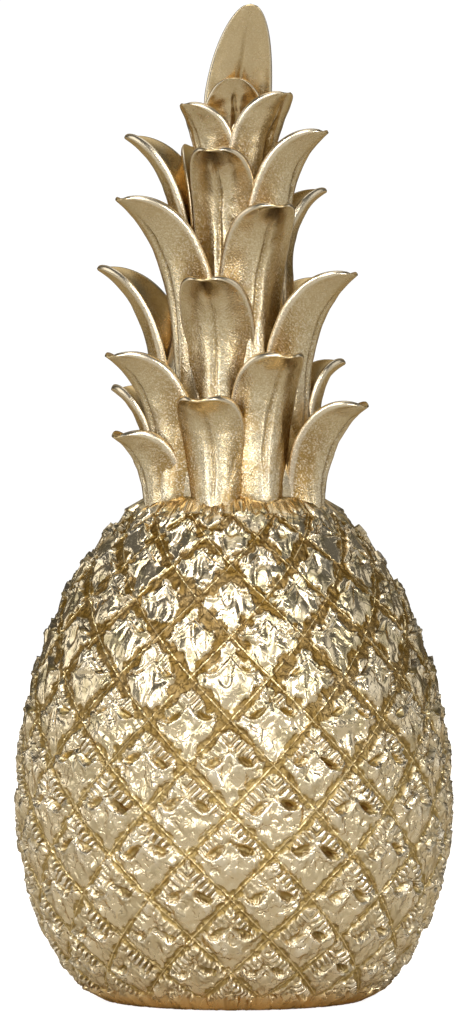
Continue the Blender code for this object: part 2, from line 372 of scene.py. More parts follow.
def eye_plate(across, up, upper, draws, wobble, ragged):
    """Places along and in from the diamond's edges, in from the plate's top, and the plate."""
    right = (across + up + 1.0) / 2.0
    left = (up - across + 1.0) / 2.0
    along = right.least(left)
    edge = along.least((1.0 - right).least(1.0 - left))
    above = (1.0 - right).soft_least(1.0 - left, CORNER_BLEND)
    below = right.soft_least(left, CORNER_BLEND)
    spread = upper.between(*MARGIN_SPREAD)
    inside_top = above - upper.between(*TOP_MARGIN) - draws[0] * spread
    inside_low = below - upper.between(*LOW_MARGIN) - draws[1] * spread
    inside = inside_top.soft_least(inside_low, MARGIN_BLEND)
    inside = inside + wobble * upper.between(*EDGE_WANDER) + ragged * EDGE_RAGGEDNESS
    plate = inside.ramp(0.0, PLATE_STEP) * edge.ramp(0.0, SEAM_STEP)
    return along, edge, inside_top, plate


# %% [markdown]
# The flap swells from the point at its foot to its lip, which is the highest place of the eye. The
# lip bows up to a point in the middle and sags under the two pockets. Half a wave of a sine on
# each side gives that line, and a thin rim along it catches the light.

# %% The flap and its lip
LIP_PLACE = (0.26, 0.42)
LIP_SAG = (0.32, 0.20)
LIP_DROOP = (0.05, 0.40)
SAG_SPAN = 0.78
LIP_SHIFT = 0.06
LIP_TILT = 0.11
LIP_WANDER = 0.06
FLAP_HEIGHT = (1.0 * MM, 2.5 * MM)
FLAP_FULLNESS = 0.8
FLAP_ROUNDING = 0.9 * MM
RIM_PLACE, RIM_REACH, RIM_HEIGHT = -0.03, 0.05, 1.0 * MM


def eye_flap(across, up, upper, draws, wobble):
    """How far the lip is shifted, how far beyond it a place is, and the flap's height there."""
    side = abs(across)
    sag = ((side / SAG_SPAN).least(1.0) * math.pi).math("SINE")
    shift = draws[2] * LIP_SHIFT + across * draws[4] * LIP_TILT
    lip = upper.between(*LIP_PLACE) + shift
    lip = lip - upper.between(*LIP_SAG) * sag - side * upper.between(*LIP_DROOP)
    beyond = up - lip + wobble * LIP_WANDER
    climb = ((up + 1.0) / (lip + 1.0)).held() ** FLAP_FULLNESS
    height = climb.between(*FLAP_HEIGHT) - across * across * FLAP_ROUNDING
    return shift, beyond, height + beyond.peak(RIM_PLACE, RIM_REACH) * RIM_HEIGHT


# %% [markdown]
# Two almond pockets are pressed in just above the lip, each with a soft brim. They are ellipses
# that slope down towards the sides. Each takes its depth, width and place from a draw of its own,
# because a matching pair would look like two holes of a mask. They fade out in the high rows.

# %% The two pockets
POCKETS = ((-1.0, 0.5, 5), (1.0, 0.8, 6))
POCKET_ASIDE = 0.36
POCKET_ABOVE = 0.07
POCKET_SLOPE = 0.45
POCKET_HALF_WIDTH = 0.25
POCKET_HALF_HEIGHT = 0.13
POCKET_FLOOR = 0.25
PLACE_SPREAD, WIDTH_SPREAD, DEPTH_SPREAD = 0.03, 0.05, 0.4
POCKET_ROWS = (6.5, 9.5)
HIGH_POCKET_SHARE = 0.35
BRIM_PLACE, BRIM_REACH = 1.10, 0.22
HIGH_BRIM_SHARE = 0.2


def eye_pockets(across, up, shift, row, draws):
    """How deep in a pocket a place is, from 0 to 1, and how near it is to a pocket's brim."""
    pockets, brims = [], []
    for hand, depth, chosen in POCKETS:
        draw = draws[chosen]
        wide = across - hand * POCKET_ASIDE - draw * PLACE_SPREAD
        wide = wide / (draw * WIDTH_SPREAD + POCKET_HALF_WIDTH)
        high = up - shift - POCKET_ABOVE - (POCKET_ASIDE - abs(across)) * POCKET_SLOPE
        high = high / POCKET_HALF_HEIGHT
        out = (wide * wide + high * high).math("SQRT")
        pockets.append((1.0 - out.ramp(POCKET_FLOOR, 1.0)) * (draw * DEPTH_SPREAD + depth))
        brims.append(out.peak(BRIM_PLACE, BRIM_REACH))
    fading = row.ramp(*POCKET_ROWS).between(1.0, HIGH_POCKET_SHARE)
    return pockets[0].most(pockets[1]) * fading, brims[0].most(brims[1])


# %% [markdown]
# A comb of short ribs stands along each upper edge, between the pockets and the groove. Copies of one rib
# could be set there, but they would not melt into the skin as cast ones do. A wave that runs along the edge
# gives the ribs and the gaps between them in one go. The paint puts painted shade in the gaps, so the wave
# is a function of its own that both can use. On most eyes one comb is worn down, so each comb has a usual
# strength and a draw that changes it.

# %% The combs of ribs
RIB_COUNT = 9.0
RIB_REACH = (0.18, 0.22)
REACH_SPREAD = 0.04
COMB_START, COMB_END = (0.08, 0.16), (0.74, 0.84)
COMB_ABOVE_LIP = (0.04, 0.10)
COMB_HALVES = (-0.2, 0.2)
COMB_WANDER = 0.6
POCKET_MARGIN = 0.3
HIGH_COMB_SHARE = 0.15
COMBS = ((6, 0.5, 0.2), (5, 0.6, 0.9))
GAP_WAVE = (0.15, 0.65)


def comb_gap(comb):
    """How much of the gap between two ribs a place has, from its place along the comb."""
    return 1.0 - ((comb * (2.0 * math.pi)).math("COSINE") * 0.5 + 0.5).ramp(*GAP_WAVE)


def eye_combs(across, upper, along, inside_top, beyond, pocket, draws, wobble):
    """How strong a comb of ribs is at a place, and how far along the comb it is, in ribs."""
    zone = 1.0 - (inside_top - draws[3] * REACH_SPREAD).ramp(*RIB_REACH)
    zone = zone * beyond.ramp(*COMB_ABOVE_LIP) * (1.0 - pocket.ramp(0.0, POCKET_MARGIN))
    zone = zone * along.ramp(*COMB_START) * (1.0 - along.ramp(*COMB_END))
    left_comb, right_comb = ((draws[chosen] * spread + usual).held() for chosen, spread, usual in COMBS)
    halves = across.ramp(*COMB_HALVES).between(left_comb, right_comb)
    zone = zone * upper.between(1.0, HIGH_COMB_SHARE) * halves
    return zone, along * RIB_COUNT + draws[5] + wobble * COMB_WANDER


# %% [markdown]
# The skin is like foil that was pressed on: large soft folds with thin wrinkles that wander over
# them. Sculpting them would take an hour for each eye. Noise gives them all, read at the place in
# the eye, with a step from eye to eye so that no two show the same part of it. A wrinkle runs
# wherever its noise crosses the middle value. The ribs, the pockets and the foot stay smoother.

# %% The crumpled skin
FOLD_CLOSENESS = (1.0, 0.45)
FOLD_STRETCH = (14.0 * MM, 8.0 * MM)
EYE_STEP = 0.1
FOLD_SCALE, FOLD_LEVEL = 230.0, 0.45
FOLD_HEIGHT = (3.4 * MM, 3.2 * MM)
WRINKLE_SCALE, WRINKLE_WIDTH = 200.0, 0.045
WRINKLE_DEPTH = 0.6 * MM
FOOT_ROUGHNESS = (0.2, 0.8)
FOOT_REACH = (-0.95, -0.25)
RIB_SMOOTHING, POCKET_SMOOTHING = 0.8, 0.7


def eye_folds(across, up, upper, number, rib_zone, pocket):
    """The height of the folds and wrinkles, and how crumpled the skin is there."""
    close = upper.between(*FOLD_CLOSENESS)
    parts = {0: across * close * FOLD_STRETCH[0], 1: up * close * FOLD_STRETCH[1], 2: number * EYE_STEP}
    spot = across.node("ShaderNodeCombineXYZ", None, parts)
    fold = spot.noise(FOLD_SCALE, 1.0) - FOLD_LEVEL
    wrinkle = spot.noise(WRINKLE_SCALE, 1.0).peak(0.5, WRINKLE_WIDTH)
    rough = up.ramp(*FOOT_REACH).between(upper.between(*FOOT_ROUGHNESS), 1.0)
    rough = rough * (1.0 - rib_zone * RIB_SMOOTHING) * (1.0 - pocket * POCKET_SMOOTHING)
    return (fold * upper.between(*FOLD_HEIGHT) - wrinkle * WRINKLE_DEPTH) * rough, rough


# %% [markdown]
# Now the parts of the rule come together. The groove is a crumpled ground with a broken cord along
# its middle. The plate stands above it: the flap below the lip, and beyond a small gap the cup with
# its ribs and pockets. A soft upper limit keeps every point a little inside the outline.

# %% The rule for an eye's relief
WOBBLE_SCALE, RAGGED_SCALE = 210.0, 520.0
LIP_STEP = (-0.015, 0.05)
LIP_GAP_PLACE, LIP_GAP_REACH, LIP_GAP_DEPTH = 0.045, 0.035, 0.9 * MM
LIP_GAP_SHADE = 0.8
PLATE_TOP = (0.5, 1.0)
CUP_HEIGHT = (1.5 * MM, 2.1 * MM)
CUP_REACH = (0.05, 0.5)
RIB_HEIGHT = 0.85 * MM
RIB_GAP_DEPTH = 1.75 * MM
POCKET_DEPTH = 2.0 * MM
BRIM_HEIGHT = 0.7 * MM
HIGH_SINK = 0.3 * MM
GROUND_HEIGHT = 0.55 * MM
GROUND_CREASES = (1.1 * MM, 0.8 * MM)
GROUND_RAGGEDNESS = (0.6 * MM, 1.0 * MM)
CREASE_SCALE, CREASE_BEND = 640.0, 1.5 * MM
CORD_HEIGHT = 0.40 * MM
CORD_SHARE = 0.019
CORD_BREAKS = (0.30, 0.55)
CORD_IN_BREAKS = (0.5, 0.25)
HIGHEST_RELIEF, HIGHEST_BLEND = 3.05 * MM, 0.4 * MM
GROUND_CRUMPLE, PLATE_CRUMPLE = (0.7, 0.4), (0.55, 0.16)


def eye_relief(across, up, row, number, skin):
    """How high an eye stands at a place, in metres, and what its paint needs to know there."""
    upper, groove_upper = row.ramp(*CHANGING_ROWS), (row + up).ramp(*CHANGING_ROWS)
    draws = eye_draws(number)
    wobble, ragged = skin.noise(WOBBLE_SCALE) - 0.5, skin.noise(RAGGED_SCALE) - 0.5
    along, edge, inside_top, plate = eye_plate(across, up, upper, draws, wobble, ragged)
    shift, beyond, flap_height = eye_flap(across, up, upper, draws, wobble)
    pocket, brim = eye_pockets(across, up, shift, row, draws)
    pocket = pocket * plate
    brim = brim * upper.between(1.0, HIGH_BRIM_SHARE)
    rib_zone, comb = eye_combs(across, upper, along, inside_top, beyond, pocket, draws, wobble)
    folds, rough = eye_folds(across, up, upper, number, rib_zone, pocket)

    # The plate
    ribs = rib_zone * (RIB_HEIGHT - comb_gap(comb) * RIB_GAP_DEPTH)
    cup = beyond.ramp(*CUP_REACH).between(*CUP_HEIGHT) + ribs
    cup = cup - pocket * POCKET_DEPTH + brim * BRIM_HEIGHT
    flap = 1.0 - beyond.ramp(*LIP_STEP)
    lip_gap = beyond.peak(LIP_GAP_PLACE, LIP_GAP_REACH) * plate
    lifted = flap.between(cup, flap_height) + folds
    lifted = lifted - upper * HIGH_SINK - lip_gap * LIP_GAP_DEPTH

    # The groove
    whole = (wobble + ragged + 0.5).ramp(*CORD_BREAKS)
    whole = whole.between(groove_upper.between(*CORD_IN_BREAKS), 1.0)
    cord = (1.0 - (edge / CORD_SHARE) ** 2.0).most(0.0) * whole * CORD_HEIGHT
    crease = skin.crumple(CREASE_SCALE, CREASE_BEND)
    ground = crease * groove_upper.between(*GROUND_CREASES) + GROUND_HEIGHT
    ground = ground + ragged * groove_upper.between(*GROUND_RAGGEDNESS)

    relief = (plate.between(ground, lifted) + cord).soft_least(HIGHEST_RELIEF, HIGHEST_BLEND)
    return relief, {
        # The sunk share is where the fruit's gold lays painted shade, the gap along the lip included
        "sunk": (1.0 - plate).most(pocket).most(lip_gap * LIP_GAP_SHADE),
        "pocket": pocket,
        "cord": cord / CORD_HEIGHT,
        "high": relief / EYE_RELIEF,
        "crumpled": plate.between(upper.between(*GROUND_CRUMPLE), rough * upper.between(*PLATE_CRUMPLE)),
        "ribbed": rib_zone * plate.ramp(*PLATE_TOP),
        "comb": comb,
    }


print("the skin stays", round((EYE_RELIEF - HIGHEST_RELIEF) / MM, 2), "mm inside the outline")

# %% [markdown]
# The lowest and the highest rows are only half eyes. The other half of their grid is not thrown
# away: it is spread over the plain foot band and the underside, and at the other end over the
# level top that the crown hides. So the skin closes by itself, and no separate caps are needed.

# %% The tree that lays the eyes on the fruit
HALF_EYES = 2 * EYES_AROUND
LATTICE_TURN = -1.0
EDGE_CROWDING = 0.3
FOOT_SHARE = 0.2
SPARE_FADE = 0.02
SMALLEST_SHARE = 0.000001


def outline_at(outline, step):
    """The outline's point and outward direction at a step, which may lie between two points."""
    start = step.math("FLOOR")
    vector = {"data_type": "FLOAT_VECTOR", "clamp": True}
    found = []
    for field in (outline.node("GeometryNodeInputPosition"), named(outline, "outwards", "FLOAT_VECTOR")):
        ends = []
        for index in (start, start + 1.0):
            sockets = {"Geometry": outline, "Value": field, "Index": index}
            ends.append(outline.node("GeometryNodeSampleIndex", vector, sockets))
        sockets = {0: step - start, 4: ends[0], 5: ends[1]}
        mixed = outline.node("ShaderNodeMix", {"data_type": "VECTOR"}, sockets, 1)
        parts = outline.node("ShaderNodeSeparateXYZ", None, {0: mixed})
        found += [parts, parts.also(2)]
    return found


def round_axis(turn, radius, height):
    """The place at this turn around the upright axis, counted from the front."""
    sine, cosine = turn.math("SINE"), turn.math("COSINE")
    return turn.node("ShaderNodeCombineXYZ", None, {0: radius * sine, 1: 0.0 - radius * cosine, 2: height})


def eye_tree():
    """The tree that lays rows of eyes on the outline that it is given."""
    tree, given = new_tree("eyes", {"First row": "Int", "Rows": "Int", "Grid": "Int", "Finish": "Material"})
    start = Value(tree)

    # Each eye's row and column, with small steps that keep the whole numbers clear of rounding
    index = start.node("GeometryNodeInputIndex")
    row = ((index + 0.5) / EYES_AROUND).math("FLOOR") + given["First row"]
    place = index - (row - given["First row"]) * EYES_AROUND
    is_odd = row - (row / 2.0 + 0.1).math("FLOOR") * 2.0
    points = start.node("GeometryNodePoints", None, {"Count": given["Rows"] * EYES_AROUND})
    points = stored(points, "eye_row", row)
    points = stored(points, "eye_column", place * 2.0 + is_odd)
    skin, *flat = lay_grids(points, given["Grid"], given["Grid"])

    # Places in the eye, with the grid lines crowded towards the grooves
    crowding = EDGE_CROWDING / (2.0 * math.pi)
    first, second = (share - (share * (2.0 * math.pi)).math("SINE") * crowding for share in flat)
    across, up = first - second, first + second - 1.0
    row, column = named(start, "eye_row"), named(start, "eye_column")
    number = row * HALF_EYES + column

    # The halves that are left over, below the first row and above the last
    foot = (1.0 - row).held() * (0.0 - up).most(0.0)
    head = (row - (CROSSING_ROWS - 2.0)).held() * up.most(0.0)
    spare = foot + head
    across = across / (1.0 - spare).most(SMALLEST_SHARE)
    up = up + foot - head

    radius, height, out, rise = outline_at(given["Geometry"], (row + up) * STEPS_IN_A_ROW)
    turn = (column + across) * (2.0 * math.pi / HALF_EYES) + math.radians(LATTICE_TURN)
    relief, shares = eye_relief(across, up, row, number, round_axis(turn, radius, height))

    # The relief stays inside the outline, and the halves left over close the foot and the top
    inset = relief - EYE_RELIEF
    radius, height = radius + inset * out, height + inset * rise
    edge = (spare / FOOT_SHARE).held()
    level = (1.0 - (spare - FOOT_SHARE) / (1.0 - FOOT_SHARE)).least(1.0)
    at_foot = foot.present()
    ring = at_foot.between(FRUIT_TOP_RADIUS, FOOT_RADIUS - EYE_RELIEF / 2)
    radius = edge.between(radius, ring) * level
    height = edge.between(height, at_foot.between(FRUIT_TOP, 0.0))

    plain = 1.0 - (spare / SPARE_FADE).held()
    for name, share in shares.items():
        skin = stored(skin, name, share * plain)
    end_tree(tree, skin, round_axis(turn, radius, height), given["Finish"])
    return tree


# %% [markdown]
# The casting is painted in one pale gold, but it never looks like one colour. The paint carries painted
# highlights on what sticks out and painted shade, brown, in the hollows. Under the gloss the fruit's skin
# is crinkled like foil, and the leaves are brushed and flecked. A photograph could be laid on as a picture,
# but it would bring its own light along. So the colour, the gloss and the crinkles all follow from what the
# skin knows about itself: how sunk, how high and how near a rim.

# %% Paint tools shared by both golds
def new_finish(name):
    """A material, the start of its sums, and its shader."""
    material = bpy.data.materials.new(name)
    material.use_nodes = True
    tree = material.node_tree
    return material, Value(tree), tree.nodes["Principled BSDF"]


def read(start, name):
    """A number that the mesh carries for each point."""
    return start.node("ShaderNodeAttribute", {"attribute_name": name}, None, 2)


def colour(red, green, blue):
    """A colour that hides what is behind it."""
    return (red, green, blue, 1.0)


def tint(share, low, high):
    """A colour between two others."""
    sockets = {0: share, 6: low, 7: high}
    return share.node("ShaderNodeMix", {"data_type": "RGBA"}, sockets, 2)


def feed(shader, **values):
    """Link values to the shader's sockets, whose names are written with underscores."""
    for label, value in values.items():
        value.tree.links.new(value.socket, shader.inputs[label.replace("_", " ")])


def bumped(height, distance):
    """A surface direction from a height of 0 to 1, which stands for this distance."""
    sockets = {"Strength": 1.0, "Distance": distance, "Height": height}
    return height.node("ShaderNodeBump", None, sockets)


def object_place(start):
    """The place on the piece, in metres."""
    return start.node("ShaderNodeTexCoord", None, None, 3)


# %% The fruit's golds: painted highlights on the lips and ribs, painted shade in the grooves and pockets
PALE_GOLD = colour(0.78, 0.65, 0.43)
HIGHLIGHT_GOLD = colour(0.94, 0.85, 0.68)
GROOVE_SHADE_GOLD = colour(0.22, 0.13, 0.03)
LOW_GROOVE_SHADE_GOLD = colour(0.42, 0.30, 0.11)
PATCH_OLIVE = colour(0.50, 0.42, 0.24)
CORD_HIGHLIGHT_GOLD = colour(0.86, 0.67, 0.33)
POCKET_SHADE_OLIVE = colour(0.47, 0.36, 0.16)
POCKET_SHADE_DARK = colour(0.20, 0.11, 0.03)
EDGE_BROWN = colour(0.66, 0.52, 0.34)
FOOT_GOLD = colour(0.76, 0.52, 0.23)
print("brightest gold:", HIGHLIGHT_GOLD[:3], "and deepest:", GROOVE_SHADE_GOLD[:3])

# %% [markdown]
# How much of each colour a place gets is a sum of what the skin knows there, plus soft noise, so that it is
# uneven. Each amount has a name. A pair called PLACES or DEPTHS is where a ramp starts and where it is
# full, and a pair in mm is a ramp up the fruit. The other pairs are an amount low down and an amount high
# up.

# %% Paint the fruit
UNEVEN_SCALE, FINE_SCALE, FOIL_SCALE = 160.0, 900.0, 330.0
FOIL_WIDTH = 0.08
HIGH_ZONE = (50.0 * MM, 110.0 * MM)
FOOT_BAND = (1.5 * MM, 7.0 * MM)
RAISED_PLACES, HIGHLIGHT_SHARE, FINE_SHARE = (0.55, 0.95), 0.9, 0.5
PATCH_PLACES, PATCH_SHARE = (0.48, 0.60), (0.3, 0.8)
SUNK_PLACES, SUNK_SHADE_SHARE, UNEVEN_SHARE = (0.15, 0.85), 0.95, 0.5
CORD_PLACES, CORD_HIGHLIGHT_SHARE = (0.2, 0.7), 0.8
OLIVE_DEPTHS, DARK_DEPTHS, DARK_PATCHES = (0.15, 0.55), (0.80, 0.97), (0.42, 0.52)
FRUIT_SHINE = (0.27, 0.21)
UNEVEN_SHINE, DEEP_SHINE, RIB_SHINE = 0.20, 0.30, 0.08
GAP_CRINKLE = 1.5
FINE_CRINKLE = (0.25, 0.10)
BUMP_DEPTH = 0.30 * MM


def fruit_finish():
    """The fruit's material."""
    material, start, shader = new_finish("fruit_gold")
    place = object_place(start)
    labels = ("sunk", "pocket", "cord", "high", "crumpled", "ribbed", "comb")
    sunk, pocket, cord, high, crumpled, ribbed, comb = (read(start, label) for label in labels)
    gap = comb_gap(comb) * ribbed
    uneven = place.noise(UNEVEN_SCALE, 3.0, 0.6)
    fine = place.noise(FINE_SCALE, 2.0, 0.6)
    foil = place.noise(FOIL_SCALE, 1.5, 0.5, 0.4).peak(0.5, FOIL_WIDTH)
    height = start.node("ShaderNodeSeparateXYZ", None, {0: place}).also(2)
    upper = height.ramp(*HIGH_ZONE)

    # Painted highlight on what stands out and on the ribs, with olive patches, and painted shade, brown, in
    # the grooves and rib gaps
    raised = (high.ramp(*RAISED_PLACES) * HIGHLIGHT_SHARE).most(ribbed * HIGHLIGHT_SHARE)
    paint = tint(raised + (fine - 0.5) * FINE_SHARE, PALE_GOLD, HIGHLIGHT_GOLD)
    paint = tint(uneven.ramp(*PATCH_PLACES) * upper.between(*PATCH_SHARE), paint, PATCH_OLIVE)
    # deep is painted shade: brown in the grooves, the gap along the lip and the gaps between ribs, darker
    # in the high rows
    deep = (sunk - cord).ramp(*SUNK_PLACES) * SUNK_SHADE_SHARE + (uneven - 0.5) * UNEVEN_SHARE
    deep = deep.most(gap * SUNK_SHADE_SHARE).held()
    paint = tint(deep, paint, tint(upper, LOW_GROOVE_SHADE_GOLD, GROOVE_SHADE_GOLD))

    # Painted highlight on the cords, painted shade that turns the pockets olive and then dark, and a warmer
    # foot band
    paint = tint(cord.ramp(*CORD_PLACES) * CORD_HIGHLIGHT_SHARE, paint, CORD_HIGHLIGHT_GOLD)
    paint = tint(pocket.ramp(*OLIVE_DEPTHS), paint, POCKET_SHADE_OLIVE)
    paint = tint(pocket.ramp(*DARK_DEPTHS) * uneven.ramp(*DARK_PATCHES), paint, POCKET_SHADE_DARK)
    paint = tint(1.0 - height.ramp(*FOOT_BAND), paint, FOOT_GOLD)

    shine = (uneven - 0.5) * UNEVEN_SHINE + deep * DEEP_SHINE
    shine = shine + upper.between(*FRUIT_SHINE) - ribbed * RIB_SHINE
    crinkle = fine * upper.between(*FINE_CRINKLE) - foil * crumpled - gap * GAP_CRINKLE
    feed(shader, Base_Color=paint, Roughness=shine, Normal=bumped(crinkle, BUMP_DEPTH))
    shader.inputs["Metallic"].default_value = 1.0
    shader.inputs["Specular Tint"].default_value = EDGE_BROWN
    return material


fruit_gold = fruit_finish()
print(fruit_gold.name, len(fruit_gold.node_tree.nodes), "nodes")

# %% [markdown]
# A piece may hold up to two hundred thousand triangles, so the skin is poured in bands. Each band
# ends along the grooves, where no seam can show, and is closed by a fan of faces to a point on
# the axis, so it is a solid slice and not a loose shell.

# %% Pour the bands of the fruit
GRID = 38
BANDS = ((0, 4), (4, 3), (7, 3), (10, 4))
TALLEST_END = 25.0 * MM


def count_triangles(piece):
    """How many triangles a piece's faces make."""
    return sum(len(face.vertices) - 2 for face in piece.data.polygons)


def close_slice(piece):
    """Close a piece's open ends to points on the axis, and turn all faces outwards."""
    mesh = bmesh.new()
    mesh.from_mesh(piece.data)
    open_edges = [edge for edge in mesh.edges if edge.is_boundary]
    if open_edges:
        heights = [edge.verts[0].co.z for edge in open_edges]
        middle = sum(heights) / len(heights)
        lows = [edge for edge in open_edges if edge.verts[0].co.z < middle]
        highs = [edge for edge in open_edges if edge.verts[0].co.z >= middle]
        has_two_ends = max(heights) - min(heights) > TALLEST_END
        for ends in (lows, highs) if has_two_ends else (open_edges,):
            level = sum(edge.verts[0].co.z for edge in ends) / len(ends)
            hub = mesh.verts.new((0.0, 0.0, level))
            for edge in ends:
                edge.smooth = False
                mesh.faces.new((edge.verts[0], edge.verts[1], hub))
    bmesh.ops.recalc_face_normals(mesh, faces=mesh.faces)
    left_open = sum(edge.is_boundary for edge in mesh.edges)
    mesh.to_mesh(piece.data)
    mesh.free()
    return left_open


eyes = eye_tree()
fruit_bands = []
for first, rows in BANDS:
    sizes = {"First row": first, "Rows": rows, "Grid": GRID, "Finish": fruit_gold}
    band = pour("fruit_rows_%d_to_%d" % (first, first + rows - 1), fruit_outline, eyes, sizes)
    left_open = close_slice(band)
    fruit_bands.append(band)
    print(band.name, count_triangles(band), "triangles,", left_open, "open edges")

# %% [markdown]
# A crown leaf is a blade that rises along the stem, curls outwards and is channelled along its
# inner face. Seen from the front it has a crease down its middle, fine veins that run together
# at its foot, and a thin rounded rim. The leaves stand in rings, each at its own place, so their
# sizes are a short table, the same as the solid's. The front ones are placed one by one, and the
# ones behind share a size in each ring. Lengths are in millimetres.

# %% The leaves' sizes
CROWN = (
    dict(
        root=(30.5, 144.0),
        width=19.5,
        curl=24.0,
        front=((-58, 169.0, 40.5, -2.5), (-12, 179.5, 38.5, -3), (59, 178.0, 45.5, 1)),
        behind=(131, -157),
        behind_tip=(177.0, 42.0),
    ),
    dict(
        root=(29.5, 149.0),
        width=19.5,
        curl=24.0,
        front=((-49, 193.0, 44.0, -6.5), (19, 192.5, 40.0, 3.5), (112, 192.0, 36.5, 0)),
        behind=(167, -121),
        behind_tip=(184.0, 43.0),
    ),
    dict(
        root=(25.0, 158.0),
        width=22.0,
        curl=28.0,
        front=((-112, 221.0, 45.0, 0), (-13, 215.5, 36.0, -1.5), (59, 217.5, 42.5, 0)),
        behind=(131, -157),
        behind_tip=(218.0, 40.0),
    ),
    dict(
        root=(22.0, 180.0),
        width=20.0,
        curl=28.0,
        front=((-49, 240.0, 41.0, -5.5), (17, 237.5, 34.0, 4), (112, 244.5, 30.5, 0)),
        behind=(167, -121),
        behind_tip=(240.0, 35.0),
    ),
    dict(
        root=(18.0, 203.0),
        width=19.5,
        curl=30.0,
        front=((-112, 261.0, 36.0, 0), (-12, 254.5, 27.0, -1.5), (59, 260.5, 32.5, 0)),
        behind=(131, -157),
        behind_tip=(259.0, 31.0),
    ),
    dict(
        root=(12.5, 228.0),
        width=18.5,
        curl=48.0,
        front=((-55, 269.5, 19.0, 0), (45, 272.5, 22.0, 1)),
        behind=(152, -141),
        behind_tip=(271.0, 21.0),
    ),
)
TOP_LEAVES = (
    (0, (7.0, 246.0), 20.0, 277.5, 11.0, 0, 60.0),
    (0, (-1.0, 240.0), 20.5, 300.0, 9.0, 5, 75.0),
)
TAPER_START = 0.60
TOP_TAPER_START = 0.22
STRAIGHT_SHARE = 0.46
CURL_SHARE = 0.35


def leaf_list():
    """Every leaf as (azimuth, root, width, tip height, reach, sway, curl angle, taper start)."""
    leaves = []
    for ring in CROWN:
        tips = list(ring["front"]) + [(azimuth, *ring["behind_tip"], 0) for azimuth in ring["behind"]]
        for azimuth, tip_height, reach, sway in tips:
            shape = (azimuth, ring["root"], ring["width"], tip_height, reach, sway, ring["curl"])
            leaves.append((*shape, TAPER_START))
    return leaves + [(*leaf, TOP_TAPER_START) for leaf in TOP_LEAVES]


def leaf_points():
    """One point for each leaf, which carries the four control points of its middle line."""
    leaves = leaf_list()
    mesh = bpy.data.meshes.new("leaf_points")
    mesh.from_pydata([(0.0, 0.0, 0.0)] * len(leaves), [], [])
    for label in ("azimuth", "width", "sway", "taper"):
        mesh.attributes.new(label, "FLOAT", "POINT")
    for label in ("root", "straight", "curl", "tip"):
        mesh.attributes.new(label, "FLOAT_VECTOR", "POINT")
    kept = {attribute.name: attribute.data for attribute in mesh.attributes}
    for i, (azimuth, root, width, tip_height, reach, sway, curl_angle, taper) in enumerate(leaves):
        rise = tip_height - root[1]
        turn = math.radians(curl_angle)
        curl = CURL_SHARE * rise
        bend = (reach - curl * math.cos(turn), tip_height - curl * math.sin(turn))
        kept["azimuth"][i].value = math.radians(azimuth)
        kept["width"][i].value = width * MM
        kept["sway"][i].value = sway * MM
        kept["taper"][i].value = taper
        ends = {"root": root, "straight": (root[0], root[1] + STRAIGHT_SHARE * rise), "curl": bend}
        ends["tip"] = (reach, tip_height)
        for label, (radius, height) in ends.items():
            kept[label][i].vector = (radius * MM, 0.0, height * MM)
    print(len(leaves), "leaves")
    return mesh


# %% [markdown]
# Each leaf starts as a flat grid too. One way of the grid runs from root to tip. The other goes
# once round the blade's cross-section: the outer face, a rounded rim, the inner face and the
# other rim. The root and the tip draw together into points, so every leaf is a closed form. The
# grid follows a middle line, which is a curve of four points: the first and the last are its ends,
# and the two between them pull it straight up and then over.

# %% The middle line of a leaf
def middle_line(start, share):
    """The leaf's middle line at a share of its length, and its slope, as a curve of four points."""
    rest = 1.0 - share
    weights = (rest**3.0, 3.0 * rest**2.0 * share, 3.0 * rest * share**2.0, share**3.0)
    slopes = (rest**2.0, 2.0 * rest * share, share**2.0)
    found = []
    for part in (0, 2):
        ends = []
        for label in ("root", "straight", "curl", "tip"):
            vector = named(start, label, "FLOAT_VECTOR")
            ends.append(start.node("ShaderNodeSeparateXYZ", None, {0: vector}, part))
        legs = [ends[i + 1] - ends[i] for i in range(3)]
        place = ends[0] * weights[0] + ends[1] * weights[1] + ends[2] * weights[2] + ends[3] * weights[3]
        found += [place, legs[0] * slopes[0] + legs[1] * slopes[1] + legs[2] * slopes[2]]
    return found


# %% [markdown]
# The face that is seen has a crease down its middle and veins that run together at the root. Its
# margins stand a little proud, as rims, and the whole blade is slightly dented, as cast by hand.
# These are again sums on the place in the leaf: across from -1 to 1, and its share of the length.

# %% The creases, veins and dents of a leaf
SPOT_WIDTH, SPOT_LENGTH, LEAF_STEP = 0.012, 0.05, 0.5
CREASE_WIDTH, CREASE_WAVER, CREASE_MM = 0.09, 0.5, 0.9
CREASE_START, CREASE_END = (0.05, 0.3), (0.7, 0.95)
VEIN_COUNT, VEIN_LEVEL, VEIN_WAVER, VEIN_MM = 7.0, 0.55, 0.4, 0.55
VEIN_ROOT_SPREAD, VEIN_SPREAD = 0.35, 0.9
VEIN_END = (0.3, 0.8)
MARGIN_START, MARGIN_END, MARGIN_MM = (0.80, 0.93), (0.985, 1.02), 0.25
WAVER_SCALE, WAVER_DEPTH = 45.0, 1.2 * MM
DENT_SCALE, DENT_DEPTH = 160.0, 0.9 * MM
SMOOTH_TIP = (0.82, 0.95)


